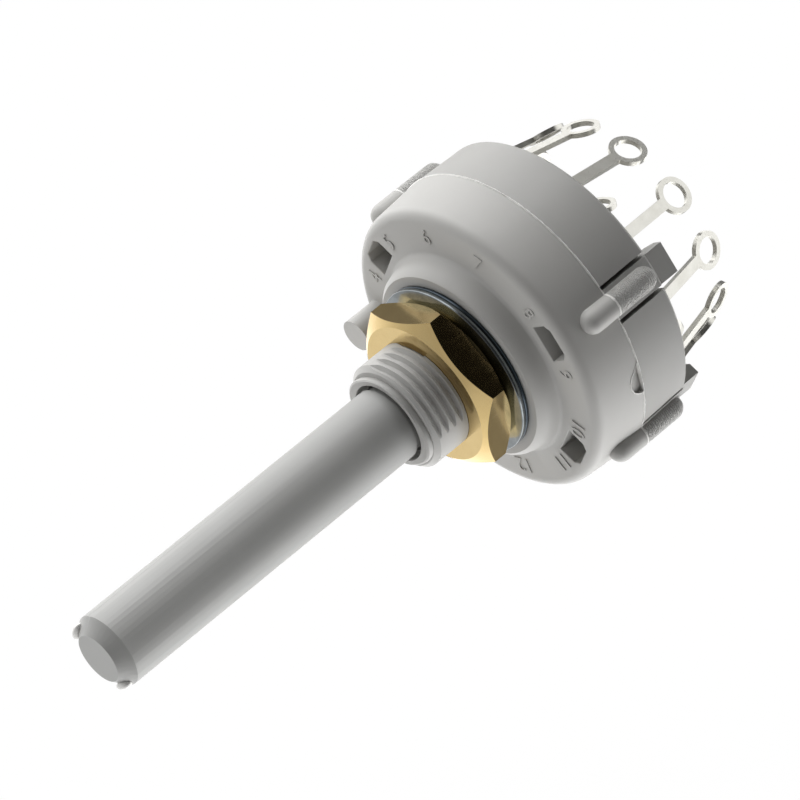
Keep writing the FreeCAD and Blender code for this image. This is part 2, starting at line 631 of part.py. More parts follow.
def build_nut():
    """The hexagon nut, bevelled on both sides."""
    body = new_body("hex_nut")
    outline = new_sketch(body, "nut_outline", "XZ_Plane")
    turned(outline, "0 - (%s)" % WASHERS, "nut_turn")
    side = value("nut_across_flats") / math.sqrt(3)
    corners = []
    for step in range(6):
        angle = math.radians(60 * step)
        corners.append(Vector(side * math.sin(angle), side * math.cos(angle), 0))
    for step in range(6):
        outline.addGeometry(Part.LineSegment(corners[step], corners[(step + 1) % 6]), False)
    round_line = Part.Circle(Vector(), Vector(0, 0, 1), side)
    outline.addGeometry(round_line, True)
    hold = lambda *rule: outline.addConstraint(Sketcher.Constraint(*rule))
    for step in range(6):
        hold("Coincident", step, 2, (step + 1) % 6, 1)
        hold("PointOnObject", step, 1, 6)
    for step in range(1, 6):
        hold("Equal", 0, step)
    hold("Coincident", 6, 3, -1, 1)
    hold("PointOnObject", 0, 1, -2)
    size = hold("Radius", 6, side)
    outline.setExpression("Constraints[%d]" % size, "sizes.nut_across_flats / sqrt(3)")
    draw_circle(outline, "bush_core_diameter + nut_clearance * 2")
    extrude(body, "Pad", "nut_blank", outline, "nut_thickness")
    bevel = new_sketch(body, "nut_bevel_outline", "XY_Plane")
    start = "nut_across_flats / 2 - nut_bevel_start"
    # A corner of the hexagon lies at 0.5774 of the width across the flats.
    tip = "nut_across_flats * 0.5774"
    rear = "0 - (%s)" % WASHERS
    front = rear + " - nut_thickness"
    draw_outline(bevel, [
        (start, front), (tip + " + nut_bevel_start", front),
        (tip + " + nut_bevel_start", front + " + nut_bevel_drop * 1.3"),
        (tip, front + " + nut_bevel_drop")])
    draw_outline(bevel, [
        (start, rear), (tip, rear + " - nut_bevel_drop"),
        (tip + " + nut_bevel_start", rear + " - nut_bevel_drop * 1.3"),
        (tip + " + nut_bevel_start", rear)])
    revolve(body, "Groove", "nut_bevels", bevel)
    return body


def new_turned_body(label, turn):
    """A body drawn at the top of the dial and turned to its clock angle."""
    body = new_body(label)
    body.Placement = Placement(Vector(), Rotation(Vector(0, 1, 0), 1))
    body.setExpression("Placement.Rotation.Angle", bound(turn))
    return body


def build_lug(body, radius, distance):
    """A blade through the stator, and behind it a leaning lug with an eye."""
    blade = new_sketch(body, body.Label + "_blade_outline", "XZ_Plane", "0 - stator_front")
    draw_box(blade, "0 - blade_width / 2", "blade_width / 2",
             radius + " - blade_thickness / 2", radius + " + blade_thickness / 2")
    extrude(body, "Pad", body.Label + "_blade", blade,
            "bend_back - stator_front + blade_thickness / 4", backwards=True)

    lug = new_sketch(body, body.Label + "_lug_outline", "XY_Plane")
    lug.AttachmentOffset = Placement(Vector(), Rotation(Vector(1, 0, 0), 1))
    lug.setExpression("AttachmentOffset.Base.y", bound("bend_back"))
    lug.setExpression("AttachmentOffset.Base.z", bound(radius))
    lug.setExpression("AttachmentOffset.Rotation.Angle", bound("0 - lug_lean"))
    wide = value("blade_width") / 2
    outer = value("eye_outer") / 2
    far = value(distance)
    neck = far - math.sqrt(outer ** 2 - wide ** 2)
    edge = math.atan2(neck - far, wide)
    draw = lug.addGeometry
    draw(Part.LineSegment(Vector(-wide, 0, 0), Vector(wide, 0, 0)), False)
    draw(Part.LineSegment(Vector(wide, 0, 0), Vector(wide, neck, 0)), False)
    around = Part.Circle(Vector(0, far, 0), Vector(0, 0, 1), outer)
    draw(Part.ArcOfCircle(around, edge, math.pi - edge), False)
    draw(Part.LineSegment(Vector(-wide, neck, 0), Vector(-wide, 0, 0)), False)
    hold = lambda *rule: lug.addConstraint(Sketcher.Constraint(*rule))
    hold("Coincident", 0, 2, 1, 1)
    hold("Coincident", 1, 2, 2, 1)
    hold("Coincident", 2, 2, 3, 1)
    hold("Coincident", 3, 2, 0, 1)
    hold("Vertical", 1)
    hold("Vertical", 3)
    pin_point(lug, 0, 1, "0 - blade_width / 2", "0")
    pin_point(lug, 0, 2, "blade_width / 2", "0")
    pin_point(lug, 2, 3, "0", distance)
    size = hold("Diameter", 2, outer * 2)
    lug.setExpression("Constraints[%d]" % size, bound("eye_outer"))
    draw_circle(lug, "eye_hole", "0", distance)
    extrude(body, "Pad", body.Label + "_lug", lug, "blade_thickness", midplane=True)
    return body


def build_terminal(number):
    """One of the twelve fixed contacts, with its solder lug."""
    label = "terminal_%02d" % number
    body = new_turned_body(label, "bridge_turn + %g" % ((number - 1) * 360 / POSITIONS))
    plate = new_sketch(body, label + "_plate_outline", "XZ_Plane", "0 - stator_front")
    draw_box(plate, "0 - plate_width / 2", "plate_width / 2",
             BLADE + " - plate_length", BLADE + " + blade_thickness / 2")
    extrude(body, "Pad", label + "_plate", plate, "track_thickness", backwards=True)
    return build_lug(body, BLADE, "eye_distance")


def build_common():
    """The common ring with its one solder lug."""
    body = new_turned_body("common_terminal", "common_turn")
    ring = new_sketch(body, "common_ring_outline", "XZ_Plane", "0 - stator_front")
    draw_circle(ring, "ring_outer * 2")
    draw_circle(ring, "ring_inner * 2")
    extrude(body, "Pad", "common_ring", ring, "track_thickness", backwards=True)
    return build_lug(body, "common_radius", "common_distance")


def build_stator(metal):
    """The rear disc that carries the fixed contacts."""
    body = new_body("stator_blank")
    disc = new_sketch(body, "stator_outline", "XZ_Plane", "0 - stator_front")
    draw_circle(disc, "(%s - stator_clearance) * 2" % SOCKET)
    draw_circle(disc, "tail_diameter + running_gap * 2")
    pad = extrude(body, "Pad", "stator_disc", disc, "body_back - stator_front",
                  backwards=True)
    level = value("body_back")
    names = edges_where(pad, lambda edge, spot: abs(spot.y - level) < 0.001)
    soften(body, "Chamfer", "stator_edges", pad, names, "stator_clearance")
    inlay = doc.addObject("Part::Compound", "stator_inlay")
    inlay.Links = metal
    stator = doc.addObject("Part::Cut", "stator")
    stator.Base = body
    stator.Tool = inlay
    stator.Label = "stator"
    doc.recompute()
    return stator


def check(parts):
    """Stop if anything in the document failed or gave a bad solid."""
    for item in doc.Objects:
        if "Invalid" in item.State or "Error" in item.State:
            raise RuntimeError("%s failed: %s" % (item.Name, item.State))
    for part in parts:
        shape = part.Shape
        if shape.isNull() or not shape.isValid() or len(shape.Solids) != 1:
            raise RuntimeError("%s is not one good solid" % part.Label)


housing = finish_housing(build_housing())
spindle = build_spindle()
balls = [build_ball("detent_ball_right", "0 + "), build_ball("detent_ball_left", "0 - ")]
spring_length = ("detent_diameter - ball_gap * 2 - ball_diameter * 2"
                 " - spring_wire - running_gap * 4")
spring = build_coil(
    "detent_spring", "spring_wire", "spring_diameter", "spring_turns", spring_length,
    ("0 - (%s) / 2" % bound(spring_length), bound("ball_back"), "0"),
    Rotation(Vector(0, 1, 0), 90))
contact_length = "flange_back - bridge_thickness - contact_spring_front - contact_spring_wire"
middle = bound(SPRING_CIRCLE)
contact_spring = build_coil(
    "contact_spring", "contact_spring_wire", "contact_spring_diameter",
    "contact_spring_turns", contact_length,
    ("(%s) * sin(sizes.bridge_turn)" % middle,
     bound("contact_spring_front + contact_spring_wire / 2"),
     "(%s) * cos(sizes.bridge_turn)" % middle),
    Rotation(Vector(1, 0, 0), -90))
contact = build_moving_contact()
stop_washer = build_washer(
    "stop_washer", "0 - seat_gap", "stop_washer_thickness", tab=True)
plain_washer = build_washer(
    "plain_washer", "0 - seat_gap * 2 - stop_washer_thickness", "plain_washer_thickness")
nut = build_nut()
terminals = [build_terminal(number) for number in range(1, POSITIONS + 1)]
common = build_common()
stator = build_stator(terminals + [common])

PARTS = [housing, spindle, *balls, spring, contact, contact_spring, stop_washer,
         plain_washer, nut, stator, common, *terminals]
doc.recompute()
check(PARTS)
os.makedirs("parts", exist_ok=True)
for part in PARTS:
    part.Shape.exportStep("parts/%s.step" % part.Label)
    box = part.Shape.BoundBox
    print("%-18s volume %8.2f  x %7.2f %7.2f  y %7.2f %7.2f  z %7.2f %7.2f" % (
        part.Label, part.Shape.Volume, box.XMin, box.XMax, box.YMin, box.YMax,
        box.ZMin, box.ZMax))
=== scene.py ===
# %% [markdown]
# A panel rotary switch.
# A switch like this one is bolted to a panel by its threaded bush, and a knob goes on its long
# shaft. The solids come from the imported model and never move. This script gives them their
# finish. It reshapes copies of the housing, the shaft and the washers, for the thread and other
# fine shapes, and it adds the raised numbers, the flash round the gate and the ears on the
# shaft's tip. All lengths are in metres, so a size in millimetres is multiplied by MM.

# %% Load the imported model
import math

import bpy
from mathutils import Matrix, Vector


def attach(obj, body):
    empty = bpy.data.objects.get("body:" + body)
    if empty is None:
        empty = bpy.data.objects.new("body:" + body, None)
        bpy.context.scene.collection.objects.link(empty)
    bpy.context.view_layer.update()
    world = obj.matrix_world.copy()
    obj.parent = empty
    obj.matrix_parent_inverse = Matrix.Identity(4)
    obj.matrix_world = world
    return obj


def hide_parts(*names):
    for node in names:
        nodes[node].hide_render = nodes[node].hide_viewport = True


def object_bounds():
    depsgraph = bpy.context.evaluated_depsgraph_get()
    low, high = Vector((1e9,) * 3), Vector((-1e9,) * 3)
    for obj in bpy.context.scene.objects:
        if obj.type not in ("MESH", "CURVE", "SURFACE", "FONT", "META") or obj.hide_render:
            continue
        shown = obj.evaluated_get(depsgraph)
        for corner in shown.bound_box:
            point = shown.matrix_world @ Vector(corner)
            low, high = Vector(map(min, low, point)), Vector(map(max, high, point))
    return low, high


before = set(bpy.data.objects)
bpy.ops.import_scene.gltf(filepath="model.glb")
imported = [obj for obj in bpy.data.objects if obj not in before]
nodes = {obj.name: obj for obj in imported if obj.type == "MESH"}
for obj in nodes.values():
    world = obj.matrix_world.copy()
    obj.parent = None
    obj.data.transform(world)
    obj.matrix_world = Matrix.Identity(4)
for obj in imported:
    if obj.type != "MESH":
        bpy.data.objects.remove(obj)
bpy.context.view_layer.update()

MM = 0.001

# %% [markdown]
# Places on a turned object.
# Nearly all of a rotary switch is round about the shaft's axis, which is Y here, with the shaft's
# tip towards -Y. So a place is given as a turner gives it: by a clock angle that runs from +Z
# towards +X as seen from the front, by its radius, and by its distance along the axis.

# %% Clock angles and radii
BODY_RADIUS = 13.3 * MM
DIAL_Y = 1.9 * MM
SEAM_Y = 6.86 * MM


def on_clock(turn, radius, y):
    """A point at a clock angle in degrees, at a radius from the axis."""
    angle = math.radians(turn)
    return Vector((radius * math.sin(angle), y, radius * math.cos(angle)))


def turn_of(point):
    """The clock angle of a point, in degrees."""
    return math.degrees(math.atan2(point.x, point.z))


def radius_of(point):
    """The distance of a point from the axis."""
    return math.hypot(point.x, point.z)


print("dial and parting line at", round(DIAL_Y / MM, 2), round(SEAM_Y / MM, 2), "mm")

# %% [markdown]
# Helpers for modelling by hand.
# Every operator of the edit mode acts on what is selected, and the frame arrives selected, so
# each step starts from a clean selection. Faces and edges are then picked by their place. A solid
# arrives as loose triangles, and a copy of it is merged before it is shaped.

# %% Select, copy and smooth
MERGE_DISTANCE = 0.0005 * MM


def work_on(piece):
    """Leave the edit mode and make one object the only selected one."""
    if bpy.context.object and bpy.context.object.mode != "OBJECT":
        bpy.ops.object.mode_set(mode="OBJECT")
    bpy.ops.object.select_all(action="DESELECT")
    piece.select_set(True)
    bpy.context.view_layer.objects.active = piece


def edit_all(piece):
    """Open a piece for editing with everything selected."""
    work_on(piece)
    bpy.ops.object.mode_set(mode="EDIT")
    bpy.ops.mesh.select_mode(type="VERT")
    bpy.ops.mesh.select_all(action="SELECT")


def own_copy(node, name):
    """A merged copy of a solid of the frame, which can be shaped."""
    piece = bpy.data.objects.new(name, nodes[node].data.copy())
    bpy.context.scene.collection.objects.link(piece)
    edit_all(piece)
    bpy.ops.mesh.remove_doubles(threshold=MERGE_DISTANCE)
    bpy.ops.mesh.customdata_custom_splitnormals_clear()
    bpy.ops.object.mode_set(mode="OBJECT")
    return piece


def smooth(piece, degrees=32):
    """Smooth shading that keeps the edges sharper than this angle."""
    work_on(piece)
    bpy.ops.object.shade_smooth_by_angle(angle=math.radians(degrees))


def triangles(piece):
    """How many triangles a piece has."""
    piece.data.calc_loop_triangles()
    return len(piece.data.loop_triangles)


print("solids with", sum(triangles(node) for node in nodes.values()), "triangles")

# %% [markdown]
# Rims of the face slots.
# The housing is one moulding in a light grey nylon, and the dial has a slot in front of each
# clip. Melt doesn't fill a sharp corner of a mould, so the slots' rims are slightly round and
# catch the light. A bevel modifier would round every edge of the housing, so only these rims are
# picked.

# %% Round the rims of the face slots
RIM_ANGLE = math.radians(60)
SLOT_INNER_RADIUS = 9.7 * MM
SLOT_OUTER_RADIUS = 12.0 * MM
SLOT_RIM_WIDTH = 0.1 * MM


def round_rims(piece, chosen, width, segments):
    """Bevel the sharp edges with both ends chosen, and count them."""
    work_on(piece)
    bpy.ops.object.mode_set(mode="EDIT")
    bpy.ops.mesh.select_all(action="DESELECT")
    bpy.ops.mesh.select_mode(type="EDGE")
    bpy.ops.mesh.edges_select_sharp(sharpness=RIM_ANGLE)
    bpy.ops.object.mode_set(mode="OBJECT")
    count = 0
    for edge in piece.data.edges:
        ends = [piece.data.vertices[index].co for index in edge.vertices]
        edge.select = edge.select and all(chosen(end) for end in ends)
        count += edge.select
    bpy.ops.object.mode_set(mode="EDIT")
    bpy.ops.mesh.bevel(offset=width, segments=segments, profile=0.5)
    bpy.ops.object.mode_set(mode="OBJECT")
    return count


def on_slot_rim(point):
    on_dial = abs(point.y - DIAL_Y) < 0.01 * MM
    return on_dial and SLOT_INNER_RADIUS < radius_of(point) < SLOT_OUTER_RADIUS


housing = own_copy("housing", "housing_moulding")
rims = round_rims(housing, on_slot_rim, SLOT_RIM_WIDTH, segments=3)
print("slot rims rounded,", rims, "edges")

# %% [markdown]
# Mouth of the bush.
# The shaft comes out of a wider, dark mouth. It is a ring, so its section is drawn once and run
# round the axis by a screw modifier with no rise. The ring is then taken away from the moulding.

# %% Widen the mouth of the bush
MOUTH_SECTION = [(3.10, -8.1), (3.52, -8.1), (3.52, -7.3), (3.30, -6.9), (3.10, -6.9)]


def apply_modifier(piece, kind, **settings):
    """Add one modifier, set it and apply it."""
    work_on(piece)
    modifier = piece.modifiers.new(kind.lower(), kind)
    for name, setting in settings.items():
        setattr(modifier, name, setting)
    bpy.ops.object.modifier_apply(modifier=modifier.name)


def close(piece):
    """Merge a closed piece where it meets itself and turn its faces outwards."""
    edit_all(piece)
    bpy.ops.mesh.remove_doubles(threshold=MERGE_DISTANCE)
    bpy.ops.mesh.select_all(action="SELECT")
    bpy.ops.mesh.normals_make_consistent(inside=False)
    bpy.ops.object.mode_set(mode="OBJECT")
    return piece


def spin(name, section, steps=96):
    """A closed ring round the axis from a closed section of (radius, y) corners."""
    bpy.ops.object.select_all(action="DESELECT")
    bpy.ops.mesh.primitive_circle_add(vertices=len(section), radius=MM, fill_type="NOTHING")
    piece = bpy.context.object
    piece.name = name
    for vertex, (radius, along) in zip(piece.data.vertices, section):
        vertex.co = (0, along, radius)
    apply_modifier(piece, "SCREW", axis="Y", screw_offset=0.0, angle=2 * math.pi, steps=steps,
                   render_steps=steps, use_merge_vertices=True, merge_threshold=MERGE_DISTANCE)
    return close(piece)


def in_metres(section):
    """A section that is written in millimetres."""
    return [(radius * MM, along * MM) for radius, along in section]


def combine(piece, other, operation):
    """Join a piece with another or cut it, and drop the other."""
    apply_modifier(piece, "BOOLEAN", operation=operation, object=other, solver="EXACT")
    bpy.data.objects.remove(other)


combine(housing, spin("mouth_cut", in_metres(MOUTH_SECTION)), "DIFFERENCE")
print("mouth cut,", triangles(housing), "triangles")

# %% [markdown]
# Gate recess.
# The melt entered through a gate in the side wall, in a recess with a teardrop outline. The solid
# has a plain recess there. Its corners that are deeper than the new floor are lifted to it, and a
# block with the teardrop's outline is cut out, so that the outline is one clean edge.

# %% Cut the gate recess
GATE_OUTLINE = [(67.3, 6.86), (70.3, 6.28), (72.0, 5.92), (74.2, 5.70), (76.4, 5.72), (78.6, 5.95),
                (80.0, 6.30), (80.6, 6.60), (80.4, 6.86)]
GATE_FLOOR = BODY_RADIUS - 0.33 * MM
GATE_ROOF = BODY_RADIUS + 0.3 * MM
RECESS_TURNS = (66, 82)
RECESS_FRONT = 5.3 * MM
RECESS_BACK = 6.9 * MM
RECESS_BOTTOM = 12.1 * MM


def between(name, lower, upper):
    """A closed block between two loops of the same number of points."""
    bpy.ops.object.select_all(action="DESELECT")
    bpy.ops.mesh.primitive_cylinder_add(vertices=len(lower), radius=MM, depth=MM)
    piece = bpy.context.object
    piece.name = name
    for index, (low, high) in enumerate(zip(lower, upper)):
        piece.data.vertices[2 * index].co = low
        piece.data.vertices[2 * index + 1].co = high
    return close(piece)


lifted = 0
for vertex in housing.data.vertices:
    turn = turn_of(vertex.co)
    beside = RECESS_TURNS[0] < turn < RECESS_TURNS[1] and RECESS_FRONT < vertex.co.y < RECESS_BACK
    if beside and RECESS_BOTTOM < radius_of(vertex.co) < GATE_FLOOR:
        vertex.co = on_clock(turn, GATE_FLOOR + 0.01 * MM, vertex.co.y)
        lifted += 1
floor_loop = [on_clock(turn, GATE_FLOOR, back * MM) for turn, back in GATE_OUTLINE]
roof_loop = [on_clock(turn, GATE_ROOF, back * MM) for turn, back in GATE_OUTLINE]
combine(housing, between("gate_cut", floor_loop, roof_loop), "DIFFERENCE")
print("gate recess cut,", lifted, "corners lifted")

# %% [markdown]
# Nose of the bush.
# The end of the bush is a narrow round lip round the mouth, and it is fuller at its two sides. It
# is a ring again. Its outer corners are moved out by a share that grows towards the sides, and it
# is joined to the moulding.

# %% Round the nose of the bush
NOSE_SECTION = [(3.50, -7.40), (3.50, -7.80), (3.62, -7.895), (3.80, -7.895), (3.93, -7.80),
                (3.97, -7.62), (3.93, -7.40), (3.93, -7.30), (3.50, -7.30)]
NOSE_LIP_RADIUS = 3.6 * MM
NOSE_FULLNESS = 0.1

nose = spin("bush_nose", in_metres(NOSE_SECTION))
for vertex in nose.data.vertices:
    radius = radius_of(vertex.co)
    if radius > NOSE_LIP_RADIUS:
        spread = 1 + NOSE_FULLNESS * abs(vertex.co.x / radius) ** 6
        vertex.co.x *= spread
        vertex.co.z *= spread
combine(housing, nose, "UNION")
print("nose joined,", triangles(housing), "triangles")

# %% [markdown]
# Screw thread.
# The bush has a fine thread of 32 turns to the inch. A thread could be painted on with a bump,
# but its crests show against the light at the side, so it is cut: a groove section is screwed
# along the axis, closed, and taken away from the bush.

# %% Screw the groove round the bush
BUSH_RADIUS = 4.7625 * MM
THREAD_PITCH = 25.4 * MM / 32
THREAD_DEPTH = 0.34 * MM
THREAD_FRONT = -7.75 * MM
THREAD_BACK = -3.9 * MM
THREAD_STEPS = 72

root = BUSH_RADIUS - THREAD_DEPTH
middle = BUSH_RADIUS - 0.14 * MM
crest = BUSH_RADIUS + 0.01 * MM
outside = BUSH_RADIUS + 0.35 * MM
half_root = 0.10 * MM
half_middle = 0.26 * MM
half_mouth = 0.33 * MM
section = [(root, -half_root), (root, half_root), (middle, half_middle), (crest, half_mouth),
           (outside, half_mouth), (outside, -half_mouth), (crest, -half_mouth),
           (middle, -half_middle)]
bpy.ops.mesh.primitive_circle_add(vertices=len(section), radius=MM, fill_type="NOTHING")
cutter = bpy.context.object
cutter.name = "thread_cutter"
for vertex, (radius, along) in zip(cutter.data.vertices, section):
    vertex.co = (0, THREAD_FRONT + along, radius)
turns = math.ceil((THREAD_BACK - THREAD_FRONT) / THREAD_PITCH)
apply_modifier(cutter, "SCREW", axis="Y", screw_offset=THREAD_PITCH, angle=2 * math.pi,
               iterations=turns, steps=THREAD_STEPS, render_steps=THREAD_STEPS)
ends = [vertex.co.y for vertex in cutter.data.vertices]
print("thread cutter from %.2f to %.2f mm" % (min(ends) / MM, max(ends) / MM))
print("right handed, from +Z to +X as it goes back:", cutter.data.vertices[len(section)].co.x > 0)

# %% [markdown]
# Smooth pads of the thread.
# The mould opens to both sides, and it leaves two smooth pads where the groove runs out. The
# cutter is lifted off the bush there, with a soft start, before it cuts.

# %% Leave the pads and cut the thread
PAD_CENTRES = (-74, 110)
PAD_HALF_WIDTH = 34
PAD_FADE = 15
PAD_LIFT = THREAD_DEPTH + 0.02 * MM


def pad_share(turn):
    """0 on the thread, 1 on a smooth pad, with a soft run-out between."""
    nearest = min(abs((turn - centre + 180) % 360 - 180) for centre in PAD_CENTRES)
    share = (PAD_HALF_WIDTH + PAD_FADE - nearest) / PAD_FADE
    return min(max(share, 0.0), 1.0)


for vertex in cutter.data.vertices:
    lift = 1 + pad_share(turn_of(vertex.co)) * PAD_LIFT / radius_of(vertex.co)
    vertex.co.x *= lift
    vertex.co.z *= lift
edit_all(cutter)
bpy.ops.mesh.fill_holes(sides=len(section))
close(cutter)
combine(housing, cutter, "DIFFERENCE")
smooth(housing)
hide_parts("housing")
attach(housing, "housing")
print("housing", triangles(housing), "triangles")

# %% [markdown]
# Tip of the shaft.
# The mould of the shaft left two small round ears on its bevel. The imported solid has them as
# plain blocks, so a ring with the bevel's slope cuts them back to the cone.

# %% Cut the blocks off the bevel
TIP_Y = -39.0 * MM
SHAFT_RADIUS = 3.175 * MM
BEVEL = 1.05 * MM
BEVEL_FRONT = TIP_Y - 0.1 * MM

shaft = own_copy("spindle", "shaft_moulding")
trim = spin("bevel_trim", [(SHAFT_RADIUS - BEVEL - 0.1 * MM, BEVEL_FRONT),
                           (SHAFT_RADIUS + 0.3 * MM, BEVEL_FRONT),
                           (SHAFT_RADIUS + 0.3 * MM, TIP_Y + BEVEL + 0.3 * MM)])
combine(shaft, trim, "DIFFERENCE")
smooth(shaft)
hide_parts("spindle")
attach(shaft, "rotor")
print("shaft", triangles(shaft), "triangles")

# %% [markdown]
# Ears on the tip.
# Each ear is a flat drop of plastic that sits half in the cone. A ball that is flattened, turned
# to its clock angle and sunk in gives its round outline. Both are one piece that turns with the
# shaft.

# %% Set the ears on the bevel
EAR_TURNS = (-84, 131)
EAR_HALF_SIZES = (0.95 * MM, 0.50 * MM, 0.36 * MM)
EAR_RADIUS = SHAFT_RADIUS - 0.40 * MM
EAR_Y = TIP_Y + 0.56 * MM


def place_in_mesh(piece):
    """Keep a piece's place in its mesh, with its object at the origin."""
    work_on(piece)
    bpy.ops.object.transform_apply(location=True, rotation=True, scale=True)


ears = []
for turn in EAR_TURNS:
    bpy.ops.object.select_all(action="DESELECT")
    bpy.ops.mesh.primitive_uv_sphere_add(segments=24, ring_count=12, radius=1.0)
    ear = bpy.context.object
    place = Matrix.Translation(on_clock(turn, EAR_RADIUS, EAR_Y))
    size = Matrix.Diagonal((*EAR_HALF_SIZES, 1))
    ear.matrix_world = place @ Matrix.Rotation(math.radians(turn), 4, "Y") @ size
    place_in_mesh(ear)
    ears.append(ear)
work_on(ears[0])
ears[1].select_set(True)
bpy.ops.object.join()
tip_ears = bpy.context.object
tip_ears.name = "tip_ears"
smooth(tip_ears)
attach(tip_ears, "rotor")
print("ears", triangles(tip_ears), "triangles")

# %% [markdown]
# Flash round the gate.
# The insert that carries the gate leaves a fine raised line round the recess. An inset of the
# wall's faces would follow their triangles, so the recess's outline is laid on the wall instead,
# made a curve, given a round section and made a mesh again.

# %% Lay the flash round the gate
WALL_TAPER = 0.07
GATE_FLASH_RADIUS = 0.05 * MM

bpy.ops.object.select_all(action="DESELECT")
bpy.ops.mesh.primitive_circle_add(vertices=len(GATE_OUTLINE), radius=MM, fill_type="NOTHING")
gate_flash = bpy.context.object
gate_flash.name = "gate_flash"
for vertex, (turn, back) in zip(gate_flash.data.vertices, GATE_OUTLINE):
    vertex.co = on_clock(turn, BODY_RADIUS - WALL_TAPER * (SEAM_Y - back * MM), back * MM)
bpy.ops.object.convert(target="CURVE")
gate_flash.data.bevel_depth = GATE_FLASH_RADIUS
gate_flash.data.bevel_resolution = 2
bpy.ops.object.convert(target="MESH")
gate_flash = bpy.context.object
close(gate_flash)
smooth(gate_flash, 60)
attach(gate_flash, "housing")
print("gate flash", triangles(gate_flash), "triangles")

# %% [markdown]
# Washers.
# Both are stamped, and tumbling has broken their rims, so each catches a line of light. A bump
# can't do that at a silhouette, so the edges of the outer circle get a narrow bevel.

# %% Break the rims of the washers
WASHER_RIM_FROM = 7.4 * MM
WASHER_RIM_WIDTH = 0.07 * MM


def on_washer_rim(point):
    return radius_of(point) > WASHER_RIM_FROM


def broken_rim(node):
    """A copy of a washer with its outer rims broken, in the washer's place."""
    piece = own_copy(node, node + "_stamped")
    count = round_rims(piece, on_washer_rim, WASHER_RIM_WIDTH, segments=2)
    smooth(piece, 50)
    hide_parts(node)
    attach(piece, "housing")
    print(node, count, "rim edges broken")
    return piece


plain_washer = broken_rim("plain_washer")
stop_washer = broken_rim("stop_washer")

# %% [markdown]
# Position numbers.
# They stand nearly a tenth of a millimetre proud of the dial and are upright towards the rim.
# Seven is at the top, and each next number is 30 degrees further round. Text is the natural
# start; it is made a mesh before it is turned into place.

# %% Raise the numbers
NUMBER_CIRCLE = 10.86 * MM
NUMBER_HEIGHT = 1.45 * MM
NUMBER_RISE = 0.09 * MM
TEXT_SIZE_PER_HEIGHT = 1.35
NUMBER_STEP = 30
TOP_NUMBER = 7

numbers = []
for number in range(1, 13):
    bpy.ops.object.select_all(action="DESELECT")
    bpy.ops.object.text_add()
    word = bpy.context.object
    word.data.body = str(number)
    word.data.size = NUMBER_HEIGHT * TEXT_SIZE_PER_HEIGHT
    word.data.align_x = "CENTER"
    word.data.align_y = "CENTER"
    word.data.extrude = NUMBER_RISE
    word.data.resolution_u = 3
    bpy.ops.object.convert(target="MESH")
    clock = NUMBER_STEP * (number - TOP_NUMBER)
    place = Matrix.Translation(on_clock(clock, NUMBER_CIRCLE, DIAL_Y))
    turned = Matrix.Rotation(math.radians(clock), 4, "Y")
    word.matrix_world = place @ turned @ Matrix.Rotation(math.radians(90), 4, "X")
    place_in_mesh(word)
    numbers.append(word)
bpy.ops.object.select_all(action="DESELECT")
for word in numbers:
    word.select_set(True)
bpy.context.view_layer.objects.active = numbers[0]
bpy.ops.object.join()
dial_numbers = bpy.context.object
dial_numbers.name = "dial_numbers"
edit_all(dial_numbers)
bpy.ops.mesh.remove_doubles(threshold=MERGE_DISTANCE)
bpy.ops.object.mode_set(mode="OBJECT")
smooth(dial_numbers)
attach(dial_numbers, "housing")
print("numbers", triangles(dial_numbers), "triangles")

# %% [markdown]
# Materials.
# Colours are written as sRGB hex values, as a paint chart has them, and one function turns them
# to the linear values that the shader needs. Another one adds a node with its settings and its
# links.

# %% Colour and node helpers
def colour(text):
    """Linear colour of an sRGB hex value."""
    parts = [int(text[place:place + 2], 16) / 255 for place in (1, 3, 5)]
    linear = [part / 12.92 if part <= 0.04045 else ((part + 0.055) / 1.055) ** 2.4
              for part in parts]
    return (*linear, 1.0)


def add(tree, kind, settings=None, values=None, links=None):
    """Add one node: its settings, the constants of its sockets, and what feeds them."""
    node = tree.nodes.new("ShaderNode" + kind)
    for name, setting in (settings or {}).items():
        setattr(node, name, setting)
    for socket, number in (values or {}).items():
        node.inputs[socket].default_value = number
    for socket, source in (links or {}).items():
        tree.links.new(source, node.inputs[socket])
    return node


def new_material(name):
    """An empty material and its node tree."""
    material = bpy.data.materials.new(name)
    material.use_nodes = True
    material.node_tree.nodes.clear()
    return material, material.node_tree


def dress(piece, material):
    """Give a piece this one material."""
    piece.data.materials.clear()
    piece.data.materials.append(material)


print("the grey #808080 is", round(colour("#808080")[0], 3), "in linear light")

# %% [markdown]
# Grey nylon.
# The mouldings are matt from the spark-eroded mould, with a very fine grain, and the colour
# wanders a little where the melt cooled at different speeds. A real spark-eroded grain is about
# 0.03 mm wide, which is too fine to show, so it is drawn 0.12 mm wide. A picture of grain would
# need a UV map, and noise needs none.

# %% Mould the parts in nylon
CLOUD_SIZE = 5 * MM
GRAIN_SIZE = 0.12 * MM
GRAIN_DEPTH = 0.012 * MM
NYLON_IOR = 1.53


